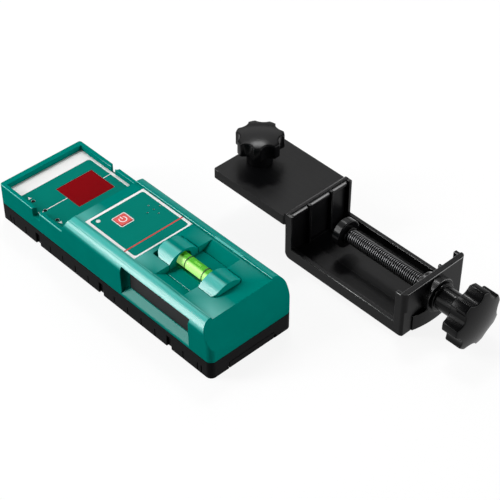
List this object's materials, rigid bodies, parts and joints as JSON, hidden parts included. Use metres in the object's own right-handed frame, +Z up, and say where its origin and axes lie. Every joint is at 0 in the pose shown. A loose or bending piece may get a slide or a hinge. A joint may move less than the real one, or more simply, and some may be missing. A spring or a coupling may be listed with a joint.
{
  "type": "laser receiver",
  "caption": "Hand-held laser receiver with a red sensor window, keypad, level vial and sliding battery door, lying beside its screw-down staff clamp.",
  "frame": {"origin": "mouth of the bracket thread, in the middle of the receiver's back", "axes": "+X across the receiver towards the clamp, +Y along the receiver towards its sensor end, +Z up, away from the receiver's back"},
  "size_m": [0.1348, 0.2425, 0.0465],
  "materials": {
    "green_plastic": "satin, fine grain",
    "black_plastic": "satin",
    "clamp_black": "satin, fine grain",
    "seal_rubber": "matt",
    "window_red": "clear red filter",
    "label": "printed sheet",
    "button_red": "satin",
    "led_lens": "dark lens",
    "lamp_white": "diffused lens",
    "board": "solder mask",
    "ribbon": "flat cable",
    "vial_clear": "clear",
    "vial_lime": "dyed spirit",
    "cell": "wrapped cell",
    "steel": "zinc plated",
    "black_steel": "black oxide",
    "brass": "turned"
  },
  "bodies": {
    "receiver": {"front_housing": "green_plastic", "rear_housing": "black_plastic", "case_gasket": "seal_rubber", "case_screws": "steel", "bracket_insert": "brass", "sensor_window": "window_red", "sensor_label": "label", "sensor_board": "board", "photodiodes": "black_plastic", "direction_leds": "led_lens", "keypad_label": "label", "tact_switch": "steel", "power_led": "lamp_white", "beeper": "black_plastic", "main_board": "board", "board_ribbon": "ribbon", "board_screws": "steel", "vial_carrier": "green_plastic", "vial_tube": "vial_clear", "vial_liquid": "vial_lime", "vial_rings": "black_plastic", "grip_inlay_left": "seal_rubber", "grip_inlay_right": "seal_rubber", "batteries": "cell", "battery_springs": "steel", "battery_plates": "steel"},
    "power_button": {"power_button": "button_red", "switch_plunger": "black_plastic"},
    "battery_door": {"battery_door": "black_plastic"},
    "clamp": {"clamp_frame": "clamp_black", "thread_bush": "brass"},
    "mount_knob": {"mount_knob": "clamp_black", "mount_stud": "steel", "stud_clip": "steel"},
    "pressure_pad": {"pressure_pad": "clamp_black"},
    "clamp_screw": {"clamp_screw": "black_steel", "clamp_knob": "clamp_black", "pad_washer": "steel"}
  },
  "joints": [
    {"name": "button_press", "type": "slide", "parent": "receiver", "child": "power_button", "axis": [0, 0, -1], "range_m": [0, 0.0005], "stiffness_N_per_m": 800},
    {"name": "battery_door_slide", "type": "slide", "parent": "receiver", "child": "battery_door", "axis": [0, -1, 0], "range_m": [0, 0.058]},
    {"name": "clamp_lift", "type": "slide", "parent": "receiver", "child": "clamp", "axis": [0, 0, 1], "range_m": [0, 0.08]},
    {"name": "mount_knob_turn", "type": "hinge", "parent": "clamp", "child": "mount_knob", "pos_m": [0.0842, -0.0006, 0.03], "axis": [0, 0, 1], "continuous": true},
    {"name": "pad_travel", "type": "slide", "parent": "clamp", "child": "pressure_pad", "axis": [0, -1, 0], "range_m": [0, 0.049]},
    {"name": "screw_turn", "type": "hinge", "parent": "pressure_pad", "child": "clamp_screw", "pos_m": [0.0842, -0.1, 0.0173], "axis": [0, -1, 0], "range_deg": [0, 14076]}
  ],
  "couplings": [
    {"joint": "pad_travel", "follows": "screw_turn", "m_per_rad": 0.00019894}
  ]
}
